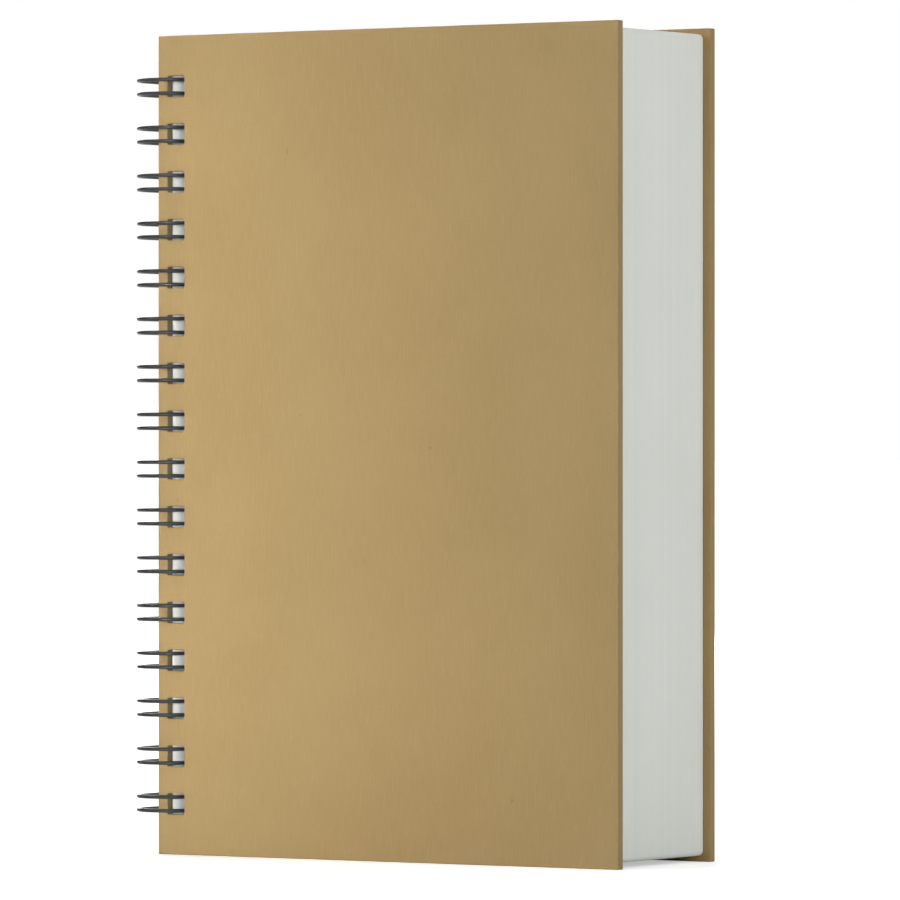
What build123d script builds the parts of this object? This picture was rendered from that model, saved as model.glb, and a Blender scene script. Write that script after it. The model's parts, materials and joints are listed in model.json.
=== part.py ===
"""Hard-cover notebook with a twin-loop wire binding, standing closed on its tail edges.

Millimetres, +Z up along the spine. +X runs from the spine to the fore edge and +Y from the
front cover to the back cover. The origin is under the middle of the whole object, wire loops
included, on the surface that the covers stand on.
"""
import os
from math import floor

from build123d import *

# ---- Driving dimensions --------------------------------------------------------------------
# Covers: two flat boards with square edges
cover_height = 217.4
cover_width = 143.4
board_thickness = 2.4
board_edge_radius = 0.25

# Page block: all the leaves, as one solid
block_thickness = 43.2
fore_overhang = 2.1          # covers past the leaves at the fore edge
end_overhang = 1.5           # covers past the leaves at head and tail
spine_setback = 0.6          # leaves behind the covers' spine edges
leaf_corner_radius = 1.5
cover_gap = 0.15             # air between each cover and the leaf next to it

# Punched holes, one for each twin loop
loop_pitch = 12.7            # two loops to the inch
least_end_margin = 10.0      # from an end of the cover to the nearest loop centre, at least
hole_margin = 3.0            # from the cover's spine edge to the hole
hole_width = 5.4
hole_height = 5.6
hole_corner_radius = 0.4

# Wire
wire_diameter = 1.0
strand_clearance = 0.48      # wire to the hole's upper and lower walls
fore_clearance = 0.5         # wire to the hole's wall on the fore-edge side
turn_offset = 0.6            # from the covers' spine edges out to the centres that they turn about
loop_standoff = 1.78         # wire in front of the cover's outer face, surface to surface
base_bend_radius = 3.0       # bends that join one twin loop to the next
seam_from_back = 18.0        # back cover's outer face to the line where the loops close
tip_nesting = 0.5            # how far each tip reaches in between its neighbouring bends
cut_end_length = 0.8         # straight stub at each cut end of the wire

# ---- Places that follow from them ----------------------------------------------------------
wire_radius = wire_diameter / 2
strand_spacing = hole_height - wire_diameter - 2 * strand_clearance
stack_thickness = 2 * (board_thickness + cover_gap) + block_thickness

hole_run = hole_margin + hole_width - fore_clearance - wire_radius
loop_end_radius = hole_run + turn_offset
turn_depth = loop_end_radius - wire_radius - loop_standoff
loop_reach = turn_offset + loop_end_radius + wire_radius

spine_x = (loop_reach - cover_width) / 2
fore_x = spine_x + cover_width
front_y = -stack_thickness / 2
back_y = stack_thickness / 2

hole_x = spine_x + hole_margin + hole_width / 2
loop_count = floor((cover_height - 2 * least_end_margin) / loop_pitch) + 1
middle_z = cover_height / 2
loop_heights = [middle_z + (i - (loop_count - 1) / 2) * loop_pitch for i in range(loop_count)]

# Axes that the covers swing about: the centres of the loops' round ends
hinge_x = spine_x - turn_offset
front_hinge_y = front_y + turn_depth
back_hinge_y = back_y - turn_depth

os.makedirs("parts", exist_ok=True)


def hole_row(near_y):
    """Outlines of the row of square binding holes, on the plane at near_y."""
    with BuildSketch(Plane.XZ.offset(-near_y)) as row:
        with Locations(*[(hole_x, height) for height in loop_heights]):
            RectangleRounded(hole_width, hole_height, hole_corner_radius)
    return row.sketch


# ---- Front cover ---------------------------------------------------------------------------
with BuildPart() as front_cover:
    with BuildSketch(Plane.XZ.offset(-front_y)):
        with Locations((spine_x + cover_width / 2, middle_z)):
            Rectangle(cover_width, cover_height)
    extrude(amount=-board_thickness)
    fillet(front_cover.edges(), radius=board_edge_radius)
    extrude(hole_row(front_y), amount=-board_thickness, mode=Mode.SUBTRACT)
front_cover.part.label = "front_cover"
export_step(front_cover.part, "parts/front_cover.step")

# ---- Back cover ----------------------------------------------------------------------------
with BuildPart() as back_cover:
    with BuildSketch(Plane.XZ.offset(-(back_y - board_thickness))):
        with Locations((spine_x + cover_width / 2, middle_z)):
            Rectangle(cover_width, cover_height)
    extrude(amount=-board_thickness)
    fillet(back_cover.edges(), radius=board_edge_radius)
    extrude(hole_row(back_y - board_thickness), amount=-board_thickness, mode=Mode.SUBTRACT)
back_cover.part.label = "back_cover"
export_step(back_cover.part, "parts/back_cover.step")

# ---- Page block: the leaves lie closed, and only their fore-edge corners are rounded --------
leaf_width = cover_width - fore_overhang - spine_setback
leaf_height = cover_height - 2 * end_overhang
block_front_y = front_y + board_thickness + cover_gap

with BuildPart() as page_block:
    with BuildSketch(Plane.XZ.offset(-block_front_y)) as leaf:
        with Locations((spine_x + spine_setback + leaf_width / 2, middle_z)):
            Rectangle(leaf_width, leaf_height)
        fillet(leaf.vertices().group_by(Axis.X)[-1], radius=leaf_corner_radius)
    extrude(amount=-block_thickness)
    extrude(hole_row(block_front_y), amount=-block_thickness, mode=Mode.SUBTRACT)
page_block.part.label = "page_block"
export_step(page_block.part, "parts/page_block.step")

# ---- Wire binding: one wire, bent into twin loops that close on the spine side ---------------
run_x = spine_x + hole_run                       # strands in the holes
outer_x = hinge_x - loop_end_radius              # strands along the spine
base_y = back_y - seam_from_back                 # bends between one twin loop and the next
leg_y = base_y + base_bend_radius
tip_radius = strand_spacing / 2
tip_start_y = base_y + tip_nesting - tip_radius


def loop_strand(height):
    """One strand of a loop: base leg, back turn, run through the holes, front turn, to the tip."""
    Line((outer_x, leg_y, height), (outer_x, back_hinge_y, height))
    ThreePointArc(
        (outer_x, back_hinge_y, height),
        (hinge_x, back_hinge_y + loop_end_radius, height),
        (run_x, back_hinge_y, height),
    )
    Line((run_x, back_hinge_y, height), (run_x, front_hinge_y, height))
    ThreePointArc(
        (run_x, front_hinge_y, height),
        (hinge_x, front_hinge_y - loop_end_radius, height),
        (outer_x, front_hinge_y, height),
    )
    Line((outer_x, front_hinge_y, height), (outer_x, tip_start_y, height))


def quarter_bend(height, side):
    """Bend from a base leg into the line of the bases, upwards for side 1 and down for -1."""
    middle = base_bend_radius * (1 - 0.5 ** 0.5)
    ThreePointArc(
        (outer_x, leg_y, height),
        (outer_x, base_y + middle, height + side * middle),
        (outer_x, base_y, height + side * base_bend_radius),
    )


half_spacing = strand_spacing / 2
with BuildPart() as wire_binding:
    with BuildLine() as wire_path:
        for height in loop_heights:
            loop_strand(height - half_spacing)
            ThreePointArc(
                (outer_x, tip_start_y, height - half_spacing),
                (outer_x, tip_start_y + tip_radius, height),
                (outer_x, tip_start_y, height + half_spacing),
            )
            loop_strand(height + half_spacing)
            quarter_bend(height - half_spacing, -1)
            quarter_bend(height + half_spacing, 1)
        for lower, upper in zip(loop_heights, loop_heights[1:]):
            Line(
                (outer_x, base_y, lower + half_spacing + base_bend_radius),
                (outer_x, base_y, upper - half_spacing - base_bend_radius),
            )
        first_bend = loop_heights[0] - half_spacing - base_bend_radius
        last_bend = loop_heights[-1] + half_spacing + base_bend_radius
        Line((outer_x, base_y, first_bend - cut_end_length), (outer_x, base_y, first_bend))
        Line((outer_x, base_y, last_bend), (outer_x, base_y, last_bend + cut_end_length))
    with BuildSketch(Plane((outer_x, base_y, first_bend - cut_end_length))):
        Circle(wire_radius)
    sweep(path=wire_path.wires()[0])
wire_binding.part.label = "wire_binding"
export_step(wire_binding.part, "parts/wire_binding.step")

wire_length = sum(edge.length for edge in wire_path.edges())
print("stack thickness", round(stack_thickness, 3), "loops", loop_count)
print("hinge x", round(hinge_x, 3), "front y", round(front_hinge_y, 3), "back y", round(back_hinge_y, 3))
print("wire length", round(wire_length, 1), "volume", round(wire_binding.part.volume, 1))
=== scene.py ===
"""Wire-bound notebook: two kraft board covers, a block of white leaves and a black twin-loop wire.

Run as a script, it loads the notebook's fixed frame, builds each visible piece round it and sets
up a pale studio. All lengths are in metres. +Z is up along the spine, +X runs from the spine to
the fore edge, and +Y from the front cover to the back cover.
"""
import json
from math import cos, pi, radians, sin

import bpy
import numpy as np
from bpy.props import FloatProperty, FloatVectorProperty, IntProperty, PointerProperty
from bpy.types import Operator, Panel, PropertyGroup
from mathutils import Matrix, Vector


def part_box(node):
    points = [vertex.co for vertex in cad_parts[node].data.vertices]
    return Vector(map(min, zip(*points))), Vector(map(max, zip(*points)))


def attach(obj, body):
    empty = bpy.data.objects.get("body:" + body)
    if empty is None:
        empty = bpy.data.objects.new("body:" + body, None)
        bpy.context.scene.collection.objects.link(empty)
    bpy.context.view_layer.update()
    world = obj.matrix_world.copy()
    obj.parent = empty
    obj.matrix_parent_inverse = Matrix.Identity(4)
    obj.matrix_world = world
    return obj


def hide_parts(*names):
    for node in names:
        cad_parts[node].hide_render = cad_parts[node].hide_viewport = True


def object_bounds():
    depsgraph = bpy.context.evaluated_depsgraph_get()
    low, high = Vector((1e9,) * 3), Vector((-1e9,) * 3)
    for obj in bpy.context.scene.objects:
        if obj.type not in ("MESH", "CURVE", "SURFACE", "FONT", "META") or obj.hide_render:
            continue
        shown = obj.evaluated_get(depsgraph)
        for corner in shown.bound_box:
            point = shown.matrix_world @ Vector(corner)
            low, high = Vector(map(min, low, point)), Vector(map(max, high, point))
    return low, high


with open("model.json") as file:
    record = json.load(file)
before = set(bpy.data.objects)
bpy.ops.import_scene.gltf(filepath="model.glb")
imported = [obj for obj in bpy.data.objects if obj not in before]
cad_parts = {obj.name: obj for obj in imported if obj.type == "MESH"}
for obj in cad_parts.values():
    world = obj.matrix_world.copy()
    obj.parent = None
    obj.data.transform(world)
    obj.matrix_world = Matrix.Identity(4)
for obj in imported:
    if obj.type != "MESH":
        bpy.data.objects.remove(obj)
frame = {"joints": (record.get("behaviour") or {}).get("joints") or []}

bl_info = {
    "name": "Wire-bound notebook",
    "version": (1, 0, 0),
    "blender": (4, 5, 0),
    "location": "3D View > Sidebar > Notebook",
    "description": "Builds a hard-cover notebook with a twin-loop wire binding, and its studio",
    "category": "Add Mesh",
}

CAD_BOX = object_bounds()
FRONT_LOW, FRONT_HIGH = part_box("front_cover")
BACK_LOW, BACK_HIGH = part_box("back_cover")
LEAVES_LOW, LEAVES_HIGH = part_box("page_block")
WIRE_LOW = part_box("wire_binding")[0]
HINGES = {joint["child"]: joint["pos_m"] for joint in frame["joints"]}

ARC_STEPS = 4                    # grid steps across a sheet's rounded corner
END_STEPS = 4                    # grid steps from there to the first hole's cell
RING_SHARES = (0, 0.08, 0.3)     # where a hole's rings lie, from its outline out to its cell
EDGE_ANGLES = (22.5, 45, 67.5, 90)   # degrees round a softened edge at which its rows lie
PLY_ROWS = 12                    # rows across a board's cut edge that its plies move
LEAF_HOLE_ROWS = 10              # rows down a hole through the leaves
BUNDLE_FLAT = (0.12, 0.88)       # the flat part of a bundle's edge, as shares of its thickness
WAVE_TURNS = (3, 7, 16)          # waves round the block of a bundle's three sines
WAVE_SHARE = 0.25                # how much of a bundle's unevenness is its waves
TURN_STEP = 7.5                  # degrees between the wire's rings in a round end of a loop
BEND_STEP = 11.25                # in a bend between two loops
TIP_STEP = 15                    # in a loop's tip
WIRE_SIDES = 16
NOISE_RANGE = (0.3, 0.7)         # values that nearly all of a noise lies between
SUN_DISTANCE = 100.0


# ---- Settings --------------------------------------------------------------------------------
def measure(name, description, default):
    """A setting that holds a length."""
    return FloatProperty(name=name, description=description, default=default, unit="LENGTH")


def shade(name, description, *default):
    """A setting that holds a colour."""
    return FloatVectorProperty(
        name=name, description=description, default=default, subtype="COLOR", min=0, max=1
    )


class BindingSettings(PropertyGroup):
    """Where the holes are punched and how the wire runs through them."""

    loop_count: IntProperty(name="Loops", description="Number of twin loops", default=16, min=2)
    loop_pitch: measure("Pitch", "From one twin loop to the next", 0.0127)
    hole_margin: measure("Hole margin", "From the covers' spine edge to the holes", 0.003)
    hole_width: measure("Hole width", "Size of a hole along the cover's width", 0.0054)
    hole_height: measure("Hole height", "Size of a hole along the spine", 0.0056)
    hole_corner: measure("Hole corner", "Corner radius of a punched hole", 0.0004)
    wire_diameter: measure("Wire", "Diameter of the coated wire", 0.001)
    strand_clearance: measure(
        "Strand clearance", "From a strand to the hole's upper or lower wall", 0.00048
    )
    base_bend_radius: measure(
        "Base bend", "Radius of the bends between neighbouring twin loops", 0.003
    )
    seam_from_back: measure(
        "Seam", "From the back cover's outer face to the line where loops close", 0.018
    )
    tip_nesting: measure("Tip nesting", "How far each tip reaches in between its bends", 0.0005)
    cut_end_length: measure("Cut end", "Straight stub at each end of the wire", 0.0008)
    coating: shade("Coating", "Colour of the wire's coating", 0.022, 0.0245, 0.028)
    coating_scuff: shade(
        "Scuffed coating", "Colour where the coating is rubbed", 0.05, 0.053, 0.058
    )
    bare_steel: shade("Bare steel", "Colour of the sheared ends", 0.42, 0.42, 0.43)


class CoverSettings(PropertyGroup):
    """The two covers: their edges and their kraft finish."""

    edge_radius: measure("Edge radius", "Rounding of the board's cut edges", 0.00025)
    corner_radius: measure("Corner radius", "Rounding of the board's four corners", 0.00035)
    rim_radius: measure("Rim radius", "Rounding of the punched rims", 0.00014)
    ply_relief: measure("Ply relief", "Depth of the plies that show in a cut edge", 0.00004)
    kraft: shade("Kraft", "Main colour of the kraft face", 0.42, 0.295, 0.126)
    kraft_dark: shade("Dark kraft", "Colour of the darker fibres and clouds", 0.347, 0.235, 0.093)
    kraft_pale: shade("Pale kraft", "Colour of the paler fibres", 0.493, 0.366, 0.177)
    fleck: shade("Fleck", "Colour of the sparse dark flecks", 0.22, 0.14, 0.06)
    cut_edge: shade("Cut edge", "Colour of the board's cut edges", 0.32, 0.225, 0.105)
    # The board's core in the holes, darkened further as painted shade in the holes
    core_and_painted_hole_shade: shade(
        "Punched edge", "Colour of the board's core in the holes", 0.18, 0.15, 0.088
    )


class LeafSettings(PropertyGroup):
    """The block of leaves: how unevenly they lie, and their paper."""

    bundle_count: IntProperty(
        name="Bundles", description="Groups of leaves that show as steps in the edges",
        default=130, min=4,
    )
    relief: measure("Relief", "How far the deepest bundle lies behind the block's outline", 0.0001)
    groove: measure("Groove", "Depth of the line between two bundles", 0.00005)
    corner_radius: measure("Corner radius", "Rounding of the leaves' fore-edge corners", 0.0015)
    seed: IntProperty(name="Seed", description="Seed of the leaves' unevenness", default=7)
    paper: shade("Paper", "Colour of the leaves", 0.875, 0.90, 0.85)
    paper_shade: shade("Paper shade", "Colour in the lines between leaves", 0.72, 0.735, 0.68)
    # Painted light: paper in the holes is paler than the leaves elsewhere, standing for light in
    # the holes
    hole_paper_painted_light: shade(
        "Fresh paper", "Colour of the clean cut leaves in the holes", 0.94, 0.93, 0.93
    )


class StudioSettings(PropertyGroup):
    """Camera, floor and lights."""

    aim: FloatVectorProperty(
        name="Aim", description="Point that the camera's axis passes through",
        size=3, default=(-0.00194, 0.01781, 0.1074), subtype="XYZ", unit="LENGTH",
    )
    camera_turn: FloatProperty(
        name="Turn", description="How far the camera stands round to the fore-edge side",
        default=radians(32.784), subtype="ANGLE",
    )
    camera_distance: measure("Distance", "From the camera to the aim", 2.0273)
    lens: FloatProperty(name="Lens", description="Focal length in millimetres", default=305.1)
    sensor_width: FloatProperty(
        name="Sensor", description="Width of the camera's sensor in millimetres", default=36.0
    )
    floor_size: measure("Floor", "Side of the square floor", 120.0)
    floor_gap: measure("Floor gap", "Air under the covers' tail edges", 0.00002)
    floor_colour: shade("Floor colour", "Colour of the floor", 0.9, 0.9, 0.9)
    floor_lift: FloatProperty(
        name="Floor lift", description="Light added to the floor round the notebook, as seen",
        default=0.45,
    )
    far_lift: FloatProperty(
        name="Far lift", description="Light added to the far floor, as seen", default=0.75
    )
    near_reach: measure("Near reach", "Where the floor's lift begins to grow", 0.5)
    far_reach: measure("Far reach", "Where the floor's lift is full", 1.6)
    surround: FloatProperty(
        name="Surround", description="Strength of the white surround as a light", default=0.12
    )
    low_sun: FloatProperty(
        name="Low sun", description="Strength of the soft sun low over the camera", default=0.2
    )
    high_sun: FloatProperty(
        name="High sun", description="Strength of the soft sun high overhead", default=0.8
    )
    key_power: FloatProperty(
        name="Key", description="Power of the square light at the front left, in watts",
        default=4.0,
    )
    side_power: FloatProperty(
        name="Side", description="Power of the light on the fore edge, in watts", default=10.5
    )
    strip_power: FloatProperty(
        name="Strip", description="Power of the narrow light on the holes, in watts",
        default=0.122,
    )
    strip_spread: FloatProperty(
        name="Strip spread", description="Angle that the narrow light spreads over",
        default=radians(10), subtype="ANGLE",
    )
    strip_offset: measure(
        "Strip offset", "How far outside the spine edge the strip is aimed", 0.019
    )
    beam_power: FloatProperty(
        name="Beam", description="Power of the narrow light on the cover's fore edge, in watts",
        default=0.082,
    )
    beam_spread: FloatProperty(
        name="Beam spread", description="Angle that the beam on the cover spreads over",
        default=radians(8), subtype="ANGLE",
    )
    beam_offset: measure("Beam offset", "How far outside the fore edge the beam is aimed", 0.02)
    fill_power: FloatProperty(
        name="Fill", description="Power of the light behind the notebook, in watts", default=30.0
    )


# ---- Shapes ----------------------------------------------------------------------------------
def loop_heights(binding):
    """Heights of the loops' centres: an even pitch, centred on the covers' height."""
    middle = (FRONT_LOW.z + FRONT_HIGH.z) / 2
    steps = np.arange(binding.loop_count) - (binding.loop_count - 1) / 2
    return middle + steps * binding.loop_pitch


def hole_centre(binding):
    """How far across the holes' middles lie."""
    return FRONT_LOW.x + binding.hole_margin + binding.hole_width / 2


def unit(angle):
    """The unit vectors at these angles, in degrees, as rows."""
    turned = np.radians(angle)
    return np.stack([np.cos(turned), np.sin(turned)], axis=-1)


def hole_outline(width, height, radius, half_arc_steps):
    """A rounded rectangle about the origin, anticlockwise from the middle of its first corner.

    Each quarter has half a corner arc, the straight side with one point in its middle, and half
    of the next corner's arc. Returns the points and the directions that point out of the hole.
    """
    half = np.array([width / 2 - radius, height / 2 - radius])
    centres = np.array([(-1, -1), (1, -1), (1, 1), (-1, 1)]) * half
    following = np.roll(centres, -1, axis=0)
    sweep = np.linspace(0, 45, half_arc_steps + 1)
    angles = 225 + 90 * np.arange(4)[:, None] + np.concatenate([sweep, [45], 45 + sweep[:-1]])
    directions = unit(angles)
    share = np.concatenate([0 * sweep, [0.5], 1 + 0 * sweep[:-1]])[None, :, None]
    points = centres[:, None] * (1 - share) + following[:, None] * share + radius * directions
    return points.reshape(-1, 2), directions.reshape(-1, 2)


def round_corner(points, corner, towards, radius):
    """Bend a square grid's corner into an arc.

    A point at (a, b) of the corner's square, measured from the arc's centre in radii, goes to the
    distance max(a, b) along its own direction, so the square's two outer sides become the arc.
    """
    centre = np.array(corner) - radius * np.array(towards)
    local = (points - centre) * np.array(towards) / radius
    inside = (local > 1e-6).all(axis=1)
    reach = local[inside].max(axis=1) / np.linalg.norm(local[inside], axis=1)
    points[inside] = centre + local[inside] * reach[:, None] * radius * np.array(towards)


def bands(near, far):
    """Quads between each loop of points and the loop next to it, closed on themselves."""
    return np.stack(
        [near, far, np.roll(far, -1, axis=-1), np.roll(near, -1, axis=-1)], axis=-1
    ).reshape(-1, 4)


def punched_sheet(low, high, hole_x, heights, pitch, hole, columns, spine_corner, fore_corner):
    """A flat sheet in X and Z with a column of holes, as points, quads and boundary loops.

    The sheet is a grid. Each hole takes a square cell of it, which rings replace: a ring's point
    is the straight blend from the hole's outline to the cell's. The outer corners are arcs.
    """
    outline, directions = hole
    cell = len(outline) // 4
    share = np.linspace(0, 1, ARC_STEPS + 1)
    first, last = heights[0] - pitch / 2, heights[-1] + pitch / 2
    inner_x = low[0] + spine_corner
    x = np.concatenate([
        low[0] + spine_corner * share[:-1],
        np.linspace(inner_x, 2 * hole_x - inner_x, cell + 1),
        np.linspace(2 * hole_x - inner_x, high[0] - fore_corner, columns + 1)[1:],
        high[0] - fore_corner * (1 - share[1:]),
    ])
    arc = np.unique(np.concatenate([spine_corner * share, fore_corner * share]))
    ends = np.concatenate([arc, np.linspace(arc[-1], first - low[1], END_STEPS + 1)[1:-1]])
    z = np.concatenate([
        low[1] + ends,
        np.linspace(first, last, cell * len(heights) + 1),
        high[1] - ends[::-1],
    ])
    points = np.stack(np.meshgrid(x, z, indexing="ij"), axis=-1).reshape(-1, 2)
    for radius, corner_x, side in ((spine_corner, low[0], -1), (fore_corner, high[0], 1)):
        round_corner(points, (corner_x, low[1]), (side, -1), radius)
        round_corner(points, (corner_x, high[1]), (side, 1), radius)

    index = np.arange(len(x) * len(z)).reshape(len(x), len(z))
    quads = np.stack([index[:-1, :-1], index[1:, :-1], index[1:, 1:], index[:-1, 1:]], axis=-1)
    kept = np.ones(quads.shape[:2], bool)
    start = len(ends)
    kept[ARC_STEPS:ARC_STEPS + cell, start:start + cell * len(heights)] = False
    quads = quads[kept]

    side = np.arange(cell)
    none, full = side * 0, side * 0 + cell
    across = ARC_STEPS + np.concatenate([side, full, full - side, none])
    up = np.concatenate([none, side, full, full - side])
    rows = start + cell * np.arange(len(heights))[:, None] + up
    cell_loop = index[across, rows]
    centres = np.stack([np.full(len(heights), hole_x), heights], axis=-1)
    blend = np.array(RING_SHARES)[None, :, None, None]
    inner = centres[:, None, None] + outline
    rings = inner * (1 - blend) + points[cell_loop][:, None] * blend
    ring_index = len(points) + np.arange(rings[..., 0].size).reshape(rings.shape[:3])
    rings_to_cell = np.concatenate([ring_index, cell_loop[:, None]], axis=1)
    points = np.concatenate([points, rings.reshape(-1, 2)])
    quads = np.concatenate([quads, bands(rings_to_cell[:, :-1], rings_to_cell[:, 1:])])

    edge = np.concatenate([index[:-1, 0], index[-1, :-1], index[:0:-1, -1], index[0, :0:-1]])
    used, quads = np.unique(quads, return_inverse=True)
    renumber = np.full(len(points), -1)
    renumber[used] = np.arange(len(used))
    points = points[used]
    edge = renumber[edge]
    step = np.roll(points[edge], -1, axis=0) - points[edge]
    step /= np.linalg.norm(step, axis=1, keepdims=True)
    turn = step + np.roll(step, 1, axis=0)
    outward = np.stack([turn[:, 1], -turn[:, 0]], axis=-1)
    outward /= np.linalg.norm(outward, axis=1, keepdims=True)
    return {
        "points": points,
        "quads": quads.reshape(-1, 4),
        "edge": edge,
        "edge_outward": outward,
        "holes": renumber[ring_index[:, 0]],
        "hole_inward": -directions,
    }


def closed_slab(sheet, front_y, back_y, edge_rows, hole_rows):
    """The sheet given a thickness: two faces, a wall round the outside and one in each hole.

    edge_rows and hole_rows are (depths, offsets). A row's point is the loop's point moved by the
    offset along its outward direction, or into the hole for a hole's loop, at the row's depth.
    Returns the points, the quads and, for each point, whether it is in a wall and in a hole.
    """
    flat = sheet["points"]
    count = len(flat)

    def placed(points, depth):
        """The points, in X and Z, at a depth along Y."""
        depth = np.broadcast_to(depth, points.shape[:-1])
        return np.stack([points[..., 0], depth, points[..., 1]], axis=-1).reshape(-1, 3)

    parts = [placed(flat, front_y), placed(flat, back_y)]
    quads = [sheet["quads"], sheet["quads"][:, ::-1] + count]
    total = 2 * count
    walls = [(sheet["edge"], sheet["edge_outward"], edge_rows, False)]
    walls += [(loop, sheet["hole_inward"], hole_rows, True) for loop in sheet["holes"]]
    for loop, direction, (depths, offsets), inside_out in walls:
        moved = flat[loop] + offsets.reshape(len(depths), -1, 1) * direction
        parts.append(placed(moved, depths[:, None]))
        rows = total + np.arange(len(parts[-1])).reshape(moved.shape[:2])
        loops = np.concatenate([loop[None], rows, loop[None] + count])
        wall = bands(loops[:-1], loops[1:])
        quads.append(wall[:, ::-1] if inside_out else wall)
        total += rows.size
    index = np.arange(total)
    cut, punched = index >= 2 * count, index >= 2 * count + len(parts[2])
    return np.concatenate(parts), np.concatenate(quads), cut, punched


def make_object(name, points, quads, caps=(), flat=0, **values):
    """A mesh object of quads and caps, riding on nothing yet.

    The first faces, whose corners are all among the first flat points, shade flat and the rest
    smoothly. values are numbers for each point, stored under their names.
    """
    mesh = bpy.data.meshes.new(name)
    mesh.vertices.add(len(points))
    mesh.vertices.foreach_set("co", points.astype(np.float32).ravel())
    corners = np.concatenate([quads.ravel(), *caps]).astype(np.int32)
    sizes = np.array([4] * len(quads) + [len(cap) for cap in caps])
    mesh.loops.add(len(corners))
    mesh.loops.foreach_set("vertex_index", corners)
    mesh.polygons.add(len(sizes))
    mesh.polygons.foreach_set("loop_start", (np.cumsum(sizes) - sizes).astype(np.int32))
    mesh.update(calc_edges=True)
    smooth = np.ones(len(sizes), bool)
    smooth[:len(quads)] = (quads >= flat).any(axis=1)
    smooth[len(quads):] = False
    mesh.polygons.foreach_set("use_smooth", smooth)
    for label, numbers in values.items():
        attribute = mesh.attributes.new(label, "FLOAT", "POINT")
        attribute.data.foreach_set("value", numbers.astype(np.float32))
    if mesh.validate():
        raise RuntimeError(f"{name} had faces that Blender had to repair")
    made = bpy.data.objects.new(name, mesh)
    bpy.context.scene.collection.objects.link(made)
    return made


def rounded_depths(front_y, back_y, radius, middle_depths, middle_offsets):
    """Rows of a wall between two rounded edges, without its first and last row.

    An edge is a quarter circle: at angle a its depth is radius times (1 - cos a) and its offset
    radius times sin a. The middle rows lie between, behind the full offset by their own amount.
    """
    angle = np.radians(EDGE_ANGLES)
    rise, reach = radius * (1 - np.cos(angle)), radius * np.sin(angle)
    depths = np.concatenate([front_y + rise, middle_depths, back_y - rise[::-1]])
    offsets = np.concatenate([reach, radius - middle_offsets, reach[::-1]])
    return depths, offsets


def cover_board(name, low, high, binding, covers, seed):
    """One cover: a flat board with square holes, rounded cut edges and plies in its edges."""
    radius, rim = covers.edge_radius, covers.rim_radius
    hole = hole_outline(
        binding.hole_width + 2 * rim, binding.hole_height + 2 * rim, binding.hole_corner + rim,
        half_arc_steps=2,
    )
    corner = covers.corner_radius - radius
    sheet = punched_sheet(
        (low.x + radius, low.z + radius), (high.x - radius, high.z - radius),
        hole_centre(binding), loop_heights(binding), binding.loop_pitch, hole,
        columns=34, spine_corner=corner, fore_corner=corner,
    )
    draw = np.random.default_rng(seed)
    plies = np.linspace(low.y + radius, high.y - radius, PLY_ROWS + 2)[1:-1]
    depths, offsets = rounded_depths(
        low.y, high.y, radius, plies, covers.ply_relief * draw.random(len(plies))
    )
    ripple = covers.ply_relief / 2 * draw.random((len(depths), len(sheet["edge"])))
    in_middle = (offsets > radius * 0.8)[:, None]
    edge_rows = depths, offsets[:, None] - ripple * in_middle
    middle = np.array([(low.y + high.y) / 2])
    hole_rows = rounded_depths(low.y, high.y, rim, middle, np.zeros(1))
    points, quads, cut, punched = closed_slab(sheet, low.y, high.y, edge_rows, hole_rows)
    depth = np.minimum(points[:, 1] - low.y, high.y - points[:, 1])
    near_face = cut & (depth < rim)
    flat = np.count_nonzero(~cut)
    return make_object(name, points, quads, flat=flat, cut=cut, punched=punched, rim=near_face)


def leaf_block(binding, leaves):
    """The leaves: a closed block whose cut edges step from bundle to bundle.

    Each bundle of leaves stands at its own random offset and waves a little along its length, as
    a sum of three sines, and a groove lies between it and the next.
    """
    low, high, inset = LEAVES_LOW, LEAVES_HIGH, leaves.relief + leaves.groove
    hole = hole_outline(
        binding.hole_width, binding.hole_height, binding.hole_corner, half_arc_steps=1
    )
    sheet = punched_sheet(
        (low.x + inset, low.z + inset), (high.x - inset, high.z - inset),
        hole_centre(binding), loop_heights(binding), binding.loop_pitch, hole,
        columns=12, spine_corner=leaves.groove, fore_corner=leaves.corner_radius - inset,
    )
    draw = np.random.default_rng(leaves.seed)
    count = leaves.bundle_count
    pitch = (high.y - low.y) / count
    shares = np.array([*BUNDLE_FLAT, 1.0])
    depths = (low.y + pitch * (np.arange(count)[:, None] + shares)).ravel()[:-1]
    length = np.linspace(0, 2 * pi, len(sheet["edge"]), endpoint=False)
    waves = sum(
        np.sin(turns * length + 2 * pi * draw.random((count, 1))) for turns in WAVE_TURNS
    )
    waves = waves / len(WAVE_TURNS) / 2 + 0.5
    level = draw.random((count, 1)) ** 2 * (1 - WAVE_SHARE) + WAVE_SHARE * waves
    heights = inset - leaves.relief * level
    grooves = np.minimum(heights, np.roll(heights, -1, axis=0)) - leaves.groove
    offsets = np.stack([heights, heights, grooves], axis=1).reshape(-1, len(length))[:-1]
    hole_depths = np.linspace(low.y, high.y, LEAF_HOLE_ROWS + 2)[1:-1]
    hole_rows = hole_depths, np.zeros(len(hole_depths))
    edge_rows = depths, offsets
    points, quads, cut, punched = closed_slab(sheet, low.y, high.y, edge_rows, hole_rows)
    flat = np.count_nonzero(~cut)
    return make_object("leaves", points, quads, flat=flat, cut=cut, punched=punched)


def arc_points(centre, radius, start, end, step):
    """Points on an arc in a plane, from one angle to the other in degrees, both included."""
    steps = round(abs(end - start) / step)
    return np.array(centre) + radius * unit(np.linspace(start, end, steps + 1))


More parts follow.
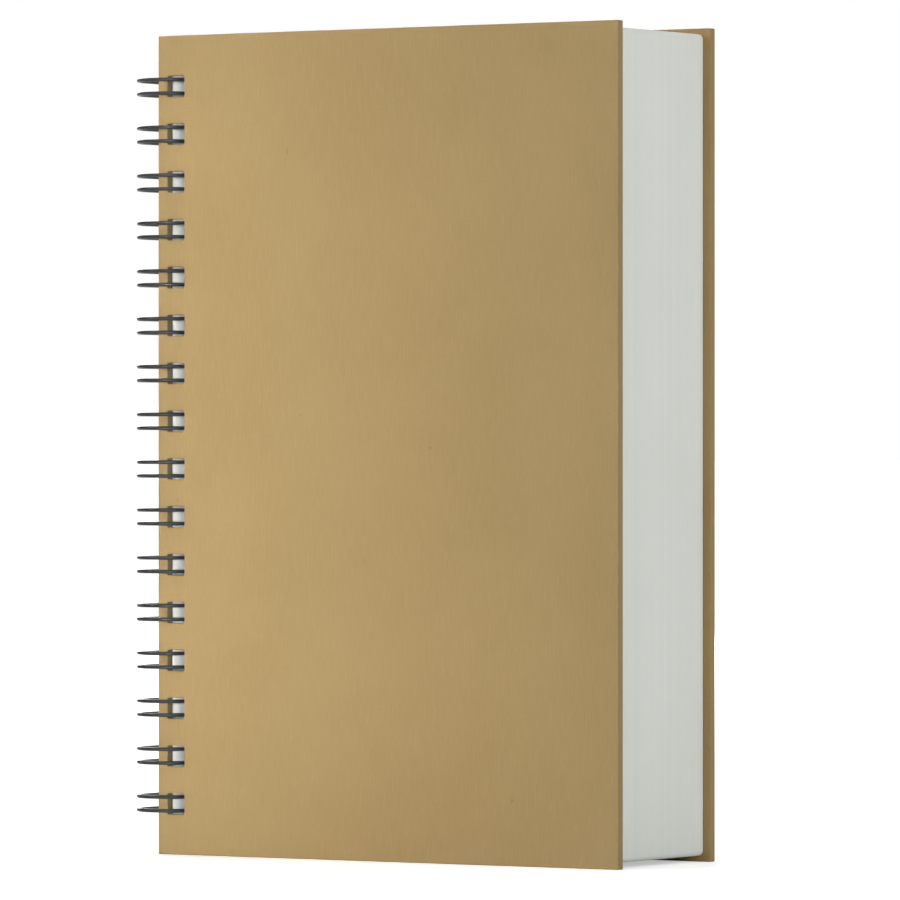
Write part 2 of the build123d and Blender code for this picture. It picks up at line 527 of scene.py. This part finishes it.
def wire_line(binding):
    """The wire's centre line from one cut end to the other, with two directions across it.

    A strand lies in a level plane: base leg, half circle round the back turning centre, straight
    run through the holes, half circle round the front one, and straight along the spine to the
    tip. The tip and the bends between loops are arcs in the plane of the spine-side strands.
    """
    radius = binding.wire_diameter / 2
    turn_x, back_turn, _ = HINGES["back_cover"]
    front_turn = HINGES["front_cover"][1]
    outer_x = WIRE_LOW.x + radius
    reach = turn_x - outer_x
    half = (binding.hole_height - binding.wire_diameter) / 2 - binding.strand_clearance
    bend = binding.base_bend_radius
    base_y = BACK_HIGH.y - binding.seam_from_back
    tip_y = base_y + binding.tip_nesting - half

    def level(points, height, along):
        """A strand at its height, whose steady direction across it is the spine's."""
        placed = np.column_stack([points, np.full(len(points), height)])
        return placed, np.tile([0.0, 0.0, along], (len(points), 1)), np.zeros(len(points), bool)

    def bent(centre, radius, start, end, step):
        """A bend on the spine side, whose steady direction is the covers' width."""
        points = arc_points(centre, radius, start, end, step)
        placed = np.column_stack([np.full(len(points), outer_x), points])
        return placed, np.tile([1.0, 0.0, 0.0], (len(points), 1)), np.ones(len(points), bool)

    strand = np.concatenate([
        arc_points((turn_x, back_turn), reach, 180, 0, TURN_STEP),
        arc_points((turn_x, front_turn), reach, 0, -180, TURN_STEP),
    ])
    stretches = [
        bent((base_y + bend, -half - bend), bend, 180, 90, BEND_STEP),
        level(strand, -half, 1),
        bent((tip_y, 0), half, -90, 90, TIP_STEP),
        level(strand[::-1], half, -1),
        bent((base_y + bend, half + bend), bend, -90, -180, BEND_STEP),
    ]
    line, steady, in_bend = (np.concatenate(group) for group in zip(*stretches))
    heights = loop_heights(binding)
    line = np.tile(line, (len(heights), 1))
    line[:, 2] += np.repeat(heights, len(in_bend))
    steady = np.tile(steady, (len(heights), 1))
    in_bend = np.tile(in_bend, len(heights))[:, None]

    ahead = np.diff(line, axis=0)
    ahead /= np.linalg.norm(ahead, axis=1, keepdims=True)
    spine_way = np.array([[0.0, 0.0, 1.0]])
    tangent = np.concatenate([spine_way, ahead[:-1] + ahead[1:], spine_way])
    tangent /= np.linalg.norm(tangent, axis=1, keepdims=True)
    first = np.where(in_bend, np.cross(steady, tangent), steady)
    second = np.where(in_bend, steady, np.cross(tangent, steady))
    return line, first, second


def wire_tube(binding):
    """The wire: a ring at each point of its line, at radius times (cos a, sin a) across it.

    Each cut end is a short stub with a small chamfer at its lip and a flat face.
    """
    line, first, second = wire_line(binding)
    radius = binding.wire_diameter / 2
    lip = radius / 6
    ends = line[[0, -1]] + binding.cut_end_length * np.array([(0, 0, -1), (0, 0, 1)])
    inward = lip * np.array([0, 0, 1])
    line = np.concatenate([
        [ends[0], ends[0] + inward], line, [ends[1] - inward, ends[1]]
    ])
    first = np.concatenate([first[[0, 0]], first, first[[-1, -1]]])
    second = np.concatenate([second[[0, 0]], second, second[[-1, -1]]])
    radii = np.full(len(line), radius)
    radii[[0, -1]] -= lip
    angle = np.linspace(0, 2 * pi, WIRE_SIDES, endpoint=False)[:, None]
    ring = first[:, None] * np.cos(angle) + second[:, None] * np.sin(angle)
    points = line[:, None] + radii[:, None, None] * ring
    index = np.arange(points[..., 0].size).reshape(points.shape[:2])
    near, far = index[:-1], index[1:]
    quads = np.stack([near, np.roll(near, -1, 1), np.roll(far, -1, 1), far], axis=-1)
    bare = np.zeros(index.shape)
    bare[[0, -1]] = 1
    return make_object(
        "binding_wire", points.reshape(-1, 3), quads.reshape(-1, 4),
        caps=[index[0, ::-1], index[-1]], cut=bare.ravel(),
    )


# ---- Finishes --------------------------------------------------------------------------------
class Graph:
    """Adds nodes to one node tree and joins them."""

    def __init__(self, tree):
        self.tree = tree

    def feed(self, socket, value):
        """Joins a source to a socket, or sets the socket's own value."""
        if isinstance(value, bpy.types.NodeSocket):
            self.tree.links.new(value, socket)
        else:
            socket.default_value = value

    def add(self, kind, inputs=(), **settings):
        """A node, with its settings and, by name or number, its inputs' values or sources."""
        node = self.tree.nodes.new(kind)
        for key, value in settings.items():
            setattr(node, key, value)
        for key, value in dict(inputs).items():
            self.feed(node.inputs[key], value)
        return node

    def math(self, operation, *values):
        """The result of a Math node."""
        return self.add("ShaderNodeMath", enumerate(values), operation=operation).outputs[0]

    def times(self, first, second):
        """The product of two numbers."""
        return self.math("MULTIPLY", first, second)

    def vector(self, operation, *values, result=0):
        """The result of a Vector Math node."""
        node = self.add("ShaderNodeVectorMath", enumerate(values), operation=operation)
        return node.outputs[result]

    def noise(self, place, scale, result="Fac", **inputs):
        """Noise with the given number of patches to the metre."""
        return self.add(
            "ShaderNodeTexNoise", {"Vector": place, "Scale": scale, **inputs}
        ).outputs[result]

    def smooth(self, value, low, high, to_low=0.0, to_high=1.0):
        """The value moved smoothly from one range to another, and held at its ends."""
        return self.add(
            "ShaderNodeMapRange", zip(range(5), (value, low, high, to_low, to_high)),
            interpolation_type="SMOOTHSTEP",
        ).outputs["Result"]

    def tint(self, colour, towards, mask, share=None):
        """The colour mixed towards another by the mask, times the share where one is given."""
        amount = mask if share is None else self.times(mask, share)
        node = self.add("ShaderNodeMix", {0: amount}, data_type="RGBA")
        for key, value in ((6, colour), (7, towards)):
            is_source = isinstance(value, bpy.types.NodeSocket)
            self.feed(node.inputs[key], value if is_source else (*value, 1))
        return node.outputs[2]

    def attribute(self, name):
        """A piece's own number at each point."""
        return self.add("ShaderNodeAttribute", attribute_name=name).outputs["Fac"]

    def group(self, name, **inputs):
        """A shared effect, placed with its own values. Underscores stand for spaces."""
        node = self.add("ShaderNodeGroup", node_tree=bpy.data.node_groups[name])
        for key, value in inputs.items():
            self.feed(node.inputs[key.replace("_", " ").capitalize()], value)
        return node.outputs


def new_group(name, inputs, outputs):
    """An empty node group with number inputs, one vector input and number outputs."""
    tree = bpy.data.node_groups.new(name, "ShaderNodeTree")
    tree.interface.new_socket("Vector", in_out="INPUT", socket_type="NodeSocketVector")
    for label, value in inputs.items():
        socket = tree.interface.new_socket(label, in_out="INPUT", socket_type="NodeSocketFloat")
        socket.default_value = value
    for label in outputs:
        tree.interface.new_socket(label, in_out="OUTPUT", socket_type="NodeSocketFloat")
    graph = Graph(tree)
    return graph, graph.add("NodeGroupInput").outputs, graph.add("NodeGroupOutput")


def build_fibres():
    """Paper fibres: soft clouds, long and short fibres along the spine, and sparse flecks.

    A fleck is the middle of a stretched, warped cell, in the half of the cells that chance picks.
    """
    sizes = {
        "Cloud size": 0.03, "Fibre width": 0.0003, "Fibre length": 0.004, "Fleck spacing": 0.004,
    }
    outputs = ("Clouds", "Fibres", "Tooth", "Flecks")
    graph, given, result = new_group("Paper fibres", sizes, outputs)
    place, spacing = given["Vector"], given["Fleck spacing"]
    across = graph.math("DIVIDE", 1.0, given["Fibre width"])
    along = graph.math("DIVIDE", 1.0, given["Fibre length"])
    stretch = graph.add("ShaderNodeCombineXYZ", {"X": across, "Y": across, "Z": along}).outputs[0]
    drawn_out = graph.vector("MULTIPLY", place, stretch)
    fibres = graph.noise(drawn_out, 1.0, Detail=3.0, Distortion=0.6)
    cloud_scale = graph.math("DIVIDE", 1.0, given["Cloud size"])
    clouds = graph.noise(place, cloud_scale, Detail=2.5, Roughness=0.5)
    tooth = graph.noise(place, across, Detail=2.0)
    cell_scale = graph.math("DIVIDE", 1.0, spacing)
    warp = graph.noise(place, graph.times(cell_scale, 6.0), result="Color", Detail=2.0)
    bent = graph.vector("MULTIPLY_ADD", warp, graph.times(spacing, 0.25), place)
    slender = graph.vector("MULTIPLY", bent, (1.0, 1.0, 0.4))
    cells = graph.add(
        "ShaderNodeTexVoronoi", {"Vector": slender, "Scale": cell_scale, "Randomness": 1.0}
    ).outputs
    chance = graph.add("ShaderNodeSeparateColor", {0: cells["Color"]}).outputs[0]
    radius = graph.smooth(chance, 0.5, 1.0, to_high=0.06)
    inside = graph.math("SUBTRACT", radius, cells["Distance"])
    large_enough = graph.math("GREATER_THAN", radius, 0.02)
    flecks = graph.times(graph.smooth(inside, -0.015, 0.025), large_enough)
    for label, value in (("Clouds", clouds), ("Fibres", fibres), ("Tooth", tooth)):
        graph.feed(result.inputs[label], graph.smooth(value, *NOISE_RANGE))
    graph.feed(result.inputs["Flecks"], flecks)


def build_layers():
    """Stacked layers across the thickness: each layer's own tone, and the line at its border."""
    sizes = {"Thickness": 0.0001, "Waviness": 0.00002, "Wave size": 0.03}
    graph, given, result = new_group("Stacked layers", sizes, ("Tone", "Line"))
    wave_scale = graph.math("DIVIDE", 1.0, given["Wave size"])
    wave = graph.noise(given["Vector"], wave_scale, Detail=1.0)
    shift = graph.times(graph.math("SUBTRACT", wave, 0.5), given["Waviness"])
    depth = graph.add("ShaderNodeSeparateXYZ", {0: given["Vector"]}).outputs["Y"]
    layer = graph.math("DIVIDE", graph.math("ADD", depth, shift), given["Thickness"])
    tone = graph.add(
        "ShaderNodeTexWhiteNoise", {"W": graph.math("FLOOR", layer)}, noise_dimensions="1D"
    ).outputs["Value"]
    from_middle = graph.math("ABSOLUTE", graph.math("SUBTRACT", graph.math("FRACT", layer), 0.5))
    graph.feed(result.inputs["Tone"], tone)
    graph.feed(result.inputs["Line"], graph.smooth(from_middle, 0.36, 0.5))


def build_rubbing():
    """Rubbed places: patches of the given mask, broken up by noise."""
    sizes = {"Mask": 1.0, "Patch size": 0.002, "Share": 0.4}
    graph, given, result = new_group("Rubbing", sizes, ("Rubbed",))
    patch_scale = graph.math("DIVIDE", 1.0, given["Patch size"])
    patches = graph.noise(given["Vector"], patch_scale, Detail=5.0, Roughness=0.65)
    threshold = graph.math("SUBTRACT", 0.75, graph.times(0.5, given["Share"]))
    above = graph.smooth(graph.math("SUBTRACT", patches, threshold), -0.08, 0.08)
    graph.feed(result.inputs["Rubbed"], graph.times(above, given["Mask"]))


def new_material(name, **constants):
    """A material with a Principled shader, whose constants are set on its own sockets."""
    material = bpy.data.materials.new(name)
    material.use_nodes = True
    material.node_tree.nodes.clear()
    graph = Graph(material.node_tree)
    shader = graph.add("ShaderNodeBsdfPrincipled")
    for key, value in constants.items():
        shader.inputs[key.replace("_", " ")].default_value = value
    output = graph.add("ShaderNodeOutputMaterial")
    graph.feed(output.inputs["Surface"], shader.outputs["BSDF"])
    place = graph.add("ShaderNodeTexCoord").outputs["Object"]
    return material, graph, shader, place


def finish_shader(graph, shader, colour, roughness, height, depth):
    """Joins a colour, a roughness and a relief of the given depth to the shader."""
    bump = graph.add("ShaderNodeBump", {"Height": height, "Distance": depth, "Strength": 1.0})
    for label, source in (
        ("Base Color", colour), ("Roughness", roughness), ("Normal", bump.outputs["Normal"])
    ):
        graph.feed(shader.inputs[label], source)


def kraft_board(covers):
    """Uncoated kraft board: vertical grain, faint clouds and flecks, plies in its cut edges."""
    material, graph, shader, place = new_material("kraft_board", Specular_IOR_Level=0.3)
    paper = graph.group(
        "Paper fibres", vector=place, cloud_size=0.04, fibre_width=0.00035, fibre_length=0.006,
        fleck_spacing=0.005,
    )
    layers = graph.group(
        "Stacked layers", vector=place, thickness=0.0003, waviness=0.0002, wave_size=0.01
    )
    cut, punched, rim = (graph.attribute(name) for name in ("cut", "punched", "rim"))
    rubbed = graph.group("Rubbing", vector=place, mask=rim, patch_size=0.003, share=0.5)
    pale_fibres = graph.math("POWER", paper["Fibres"], 2.0)
    dark_tooth = graph.math("POWER", paper["Tooth"], 3.0)
    ply = graph.tint(covers.cut_edge, covers.kraft_dark, layers["Tone"])
    ply = graph.tint(ply, covers.fleck, layers["Line"], share=0.4)
    colour = graph.tint(covers.kraft, covers.kraft_dark, paper["Clouds"], share=0.36)
    colour = graph.tint(colour, covers.kraft_pale, pale_fibres, share=0.3)
    colour = graph.tint(colour, covers.kraft_dark, dark_tooth, share=0.28)
    colour = graph.tint(colour, covers.fleck, paper["Flecks"], share=0.45)
    colour = graph.tint(colour, ply, cut, share=0.7)
    # Painted shade: the hole walls are darkened towards the core colour, standing for shade in the
    # holes
    colour = graph.tint(colour, covers.core_and_painted_hole_shade, punched, share=0.85)
    colour = graph.tint(colour, covers.kraft_pale, rubbed["Rubbed"], share=0.5)
    roughness = graph.smooth(paper["Fibres"], 0.0, 1.0, to_low=0.72, to_high=0.86)
    grain = graph.math("ADD", paper["Fibres"], graph.times(paper["Tooth"], 0.6))
    lines = graph.times(graph.times(layers["Line"], cut), -1.5)
    height = graph.math("ADD", grain, lines)
    finish_shader(graph, shader, colour, roughness, height, depth=0.00001)
    return material


def leaf_paper(leaves):
    """White paper: plain faces with a faint tooth, and every leaf's line in the cut edges."""
    material, graph, shader, place = new_material("leaf_paper", Specular_IOR_Level=0.3)
    paper = graph.group(
        "Paper fibres", vector=place, cloud_size=0.04, fibre_width=0.0002, fibre_length=0.0012,
        fleck_spacing=0.01,
    )
    layers = graph.group(
        "Stacked layers", vector=place, thickness=0.0001, waviness=0.00012, wave_size=0.04
    )
    gatherings = graph.group(
        "Stacked layers", vector=place, thickness=0.0016, waviness=0.0004, wave_size=0.05
    )
    cut, punched = graph.attribute("cut"), graph.attribute("punched")
    leaf_tone = graph.times(layers["Tone"], cut)
    gathering_tone = graph.times(gatherings["Tone"], cut)
    line = graph.times(graph.times(layers["Line"], cut), 0.35)
    colour = graph.tint(leaves.paper, leaves.paper_shade, paper["Clouds"], share=0.15)
    colour = graph.tint(colour, leaves.paper_shade, leaf_tone, share=0.25)
    colour = graph.tint(colour, leaves.paper_shade, gathering_tone, share=0.12)
    colour = graph.tint(colour, leaves.paper_shade, line)
    # Painted light: the hole walls get paler paper, standing for light in the holes
    colour = graph.tint(colour, leaves.hole_paper_painted_light, punched, share=0.8)
    roughness = graph.smooth(paper["Fibres"], 0.0, 1.0, to_low=0.8, to_high=0.92)
    height = graph.math("ADD", paper["Fibres"], graph.times(line, -6.0))
    finish_shader(graph, shader, colour, roughness, height, depth=0.000005)
    return material


def coated_wire(binding):
    """Black nylon-coated steel: a satin coat with a faint ripple, rubbed patches and bare ends."""
    material, graph, shader, place = new_material(
        "coated_wire", Specular_IOR_Level=0.5, Coat_Roughness=0.2, Coat_IOR=1.45
    )
    skin = graph.group(
        "Paper fibres", vector=place, cloud_size=0.006, fibre_width=0.00025, fibre_length=0.0004,
        fleck_spacing=0.002,
    )
    cut = graph.attribute("cut")
    rubbed = graph.group("Rubbing", vector=place, mask=1.0, patch_size=0.0015, share=0.2)
    darker = [0.75 * part for part in binding.coating]
    colour = graph.tint(binding.coating, darker, skin["Clouds"])
    colour = graph.tint(colour, binding.coating_scuff, rubbed["Rubbed"], share=0.6)
    colour = graph.tint(colour, binding.bare_steel, cut)
    satin = graph.smooth(skin["Clouds"], 0.0, 1.0, to_low=0.3, to_high=0.42)
    roughness = graph.math("ADD", satin, graph.times(rubbed["Rubbed"], 0.15))
    finish_shader(graph, shader, colour, roughness, skin["Tooth"], depth=0.000004)
    graph.feed(shader.inputs["Metallic"], cut)
    coat = graph.times(graph.math("SUBTRACT", 1.0, cut), 0.3)
    graph.feed(shader.inputs["Coat Weight"], coat)
    return material


def studio_floor(studio):
    """Matt floor whose added light, for the camera alone, grows outwards to meet the surround."""
    material, graph, shader, place = new_material(
        "studio_floor", Roughness=0.95, Specular_IOR_Level=0.1,
        Base_Color=(*studio.floor_colour, 1), Emission_Color=(1, 1, 1, 1),
    )
    seen = graph.add("ShaderNodeLightPath").outputs["Is Camera Ray"]
    away = graph.vector("LENGTH", place, result="Value")
    lift = graph.smooth(
        away, studio.near_reach, studio.far_reach, studio.floor_lift, studio.far_lift
    )
    graph.feed(shader.inputs["Emission Strength"], graph.times(seen, lift))
    return material


# ---- Operators -------------------------------------------------------------------------------
def add_piece(piece, material, node, body):
    """Finishes a piece, hides the part that it replaces and hangs it on the body it moves with."""
    piece.data.materials.append(material)
    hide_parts(node)
    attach(piece, body)


class NOTEBOOK_OT_wire(Operator):
    """Bend the wire into its twin loops"""

    bl_idname = "notebook.wire"
    bl_label = "Binding wire"

    def execute(self, context):
        binding = context.scene.notebook.binding
        add_piece(wire_tube(binding), coated_wire(binding), "wire_binding", "book")
        return {"FINISHED"}


class NOTEBOOK_OT_covers(Operator):
    """Cut and punch the two kraft boards"""

    bl_idname = "notebook.covers"
    bl_label = "Covers"

    def execute(self, context):
        notebook = context.scene.notebook
        material = kraft_board(notebook.covers)
        for seed, (name, node, low, high) in enumerate((
            ("front_board", "front_cover", FRONT_LOW, FRONT_HIGH),
            ("back_board", "back_cover", BACK_LOW, BACK_HIGH),
        )):
            board = cover_board(name, low, high, notebook.binding, notebook.covers, seed)
            add_piece(board, material, node, node)
        return {"FINISHED"}


class NOTEBOOK_OT_leaves(Operator):
    """Stack and punch the leaves"""

    bl_idname = "notebook.leaves"
    bl_label = "Leaves"

    def execute(self, context):
        notebook = context.scene.notebook
        block = leaf_block(notebook.binding, notebook.leaves)
        add_piece(block, leaf_paper(notebook.leaves), "page_block", "book")
        return {"FINISHED"}


class NOTEBOOK_OT_studio(Operator):
    """Set up the floor, the lights, the white surround and the camera"""

    bl_idname = "notebook.studio"
    bl_label = "Studio"

    def execute(self, context):
        studio = context.scene.notebook.studio
        lay_floor(studio)
        hang_lights(studio)
        paint_surround(studio)
        stand_camera(studio)
        context.scene.view_settings.view_transform = "Standard"
        return {"FINISHED"}


def lay_floor(studio):
    """A wide square floor just under the covers' tail edges."""
    half = studio.floor_size / 2
    corners = np.array([(-1, -1), (1, -1), (1, 1), (-1, 1)]) * half
    level = np.full(4, CAD_BOX[0].z - studio.floor_gap)
    floor = make_object(
        "studio_floor", np.column_stack([corners, level]), np.array([[0, 1, 2, 3]])
    )
    floor.data.materials.append(studio_floor(studio))


def add_light(name, kind, target, turn, rise, distance, **settings):
    """A light pointing at the target, that the camera doesn't see.

    It stands at the distance times (sin turn cos rise, -cos turn cos rise, sin rise), in degrees.
    """
    lamp = bpy.data.lights.new(name, kind)
    for key, value in settings.items():
        setattr(lamp, key, value)
    turn, rise = radians(turn), radians(rise)
    place = distance * Vector((sin(turn) * cos(rise), -cos(turn) * cos(rise), sin(rise)))
    made = bpy.data.objects.new(name, lamp)
    made.location = place
    made.rotation_euler = (target - place).to_track_quat("-Z", "Y").to_euler()
    made.visible_camera = False
    bpy.context.scene.collection.objects.link(made)


def hang_lights(studio):
    """Two soft suns, a key at the front left, lights on the holes and fore edge, a fill behind.

    The strip and the beam are narrow, so each lights one side of the cover and fades across it.
    """
    middle = (CAD_BOX[0] + CAD_BOX[1]) / 2
    spine = Vector((FRONT_LOW.x - studio.strip_offset, FRONT_LOW.y, middle.z))
    fore = Vector((FRONT_HIGH.x + studio.beam_offset, FRONT_LOW.y, middle.z))
    add_light("low_sun", "SUN", middle, turn=30, rise=10, distance=SUN_DISTANCE,
              energy=studio.low_sun, angle=radians(18))
    add_light("high_sun", "SUN", middle, turn=-60, rise=82, distance=SUN_DISTANCE,
              energy=studio.high_sun, angle=radians(30))
    add_light("front_key", "AREA", middle, turn=-35, rise=32.5, distance=1.96,
              energy=studio.key_power, size=0.8)
    add_light("fore_edge_light", "AREA", middle, turn=84.6, rise=26.5, distance=1.8,
              energy=studio.side_power, size=0.8)
    add_light("back_fill", "AREA", middle, turn=-144, rise=22, distance=2.4,
              energy=studio.fill_power, size=1.2)
    add_light("spine_strip", "AREA", spine, turn=25.6, rise=5.9, distance=1.4,
              energy=studio.strip_power, spread=studio.strip_spread,
              shape="RECTANGLE", size=0.12, size_y=0.32)
    add_light("cover_beam", "AREA", fore, turn=-30, rise=15, distance=1.9,
              energy=studio.beam_power, spread=studio.beam_spread,
              shape="RECTANGLE", size=0.15, size_y=0.4)


def paint_surround(studio):
    """A white surround: full white to the camera, and dimmer as a light."""
    world = bpy.data.worlds.new("studio_surround")
    world.use_nodes = True
    world.node_tree.nodes.clear()
    graph = Graph(world.node_tree)
    seen = graph.add("ShaderNodeLightPath").outputs["Is Camera Ray"]
    strength = graph.smooth(seen, 0.0, 1.0, studio.surround, 1.0)
    glow = graph.add("ShaderNodeBackground", {"Color": (1, 1, 1, 1), "Strength": strength})
    output = graph.add("ShaderNodeOutputWorld")
    graph.feed(output.inputs["Surface"], glow.outputs[0])
    bpy.context.scene.world = world


def stand_camera(studio):
    """A level camera with a long lens, round to the fore-edge side of the front cover."""
    lens = bpy.data.cameras.new("camera")
    lens.lens = studio.lens
    lens.sensor_width = studio.sensor_width
    lens.clip_start = studio.camera_distance / 10
    lens.clip_end = studio.floor_size
    camera = bpy.data.objects.new("camera", lens)
    back = Vector((sin(studio.camera_turn), -cos(studio.camera_turn), 0))
    camera.location = Vector(studio.aim) + back * studio.camera_distance
    camera.rotation_euler = (pi / 2, 0, studio.camera_turn)
    bpy.context.scene.collection.objects.link(camera)
    bpy.context.scene.camera = camera


# ---- Panel and registration --------------------------------------------------------------------
OPERATORS = (NOTEBOOK_OT_covers, NOTEBOOK_OT_leaves, NOTEBOOK_OT_wire, NOTEBOOK_OT_studio)


class NotebookSettings(PropertyGroup):
    """All of the notebook's settings."""

    binding: PointerProperty(type=BindingSettings, name="Binding", description="Holes and wire")
    covers: PointerProperty(type=CoverSettings, name="Covers", description="The two boards")
    leaves: PointerProperty(type=LeafSettings, name="Leaves", description="The block of leaves")
    studio: PointerProperty(type=StudioSettings, name="Studio", description="Floor, lights, camera")


class VIEW3D_PT_notebook(Panel):
    """Buttons that build the notebook, with their settings"""

    bl_label = "Wire-bound notebook"
    bl_space_type = "VIEW_3D"
    bl_region_type = "UI"
    bl_category = "Notebook"

    def draw(self, context):
        notebook = context.scene.notebook
        for operator in OPERATORS:
            self.layout.operator(operator.bl_idname)
        for group in (notebook.binding, notebook.covers, notebook.leaves, notebook.studio):
            box = self.layout.box()
            for key in group.__annotations__:
                box.prop(group, key)


CLASSES = (
    BindingSettings, CoverSettings, LeafSettings, StudioSettings, NotebookSettings,
    *OPERATORS, VIEW3D_PT_notebook,
)


def register():
    """Register the classes, and keep the settings in the scene."""
    for item in CLASSES:
        bpy.utils.register_class(item)
    bpy.types.Scene.notebook = PointerProperty(type=NotebookSettings)


def unregister():
    """Take away what register added."""
    del bpy.types.Scene.notebook
    for item in reversed(CLASSES):
        bpy.utils.unregister_class(item)


def main():
    """Build the shared effects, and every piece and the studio."""
    register()
    build_fibres()
    build_layers()
    build_rubbing()
    bpy.ops.notebook.covers()
    bpy.ops.notebook.leaves()
    bpy.ops.notebook.wire()
    bpy.ops.notebook.studio()


if __name__ == "__main__":
    main()
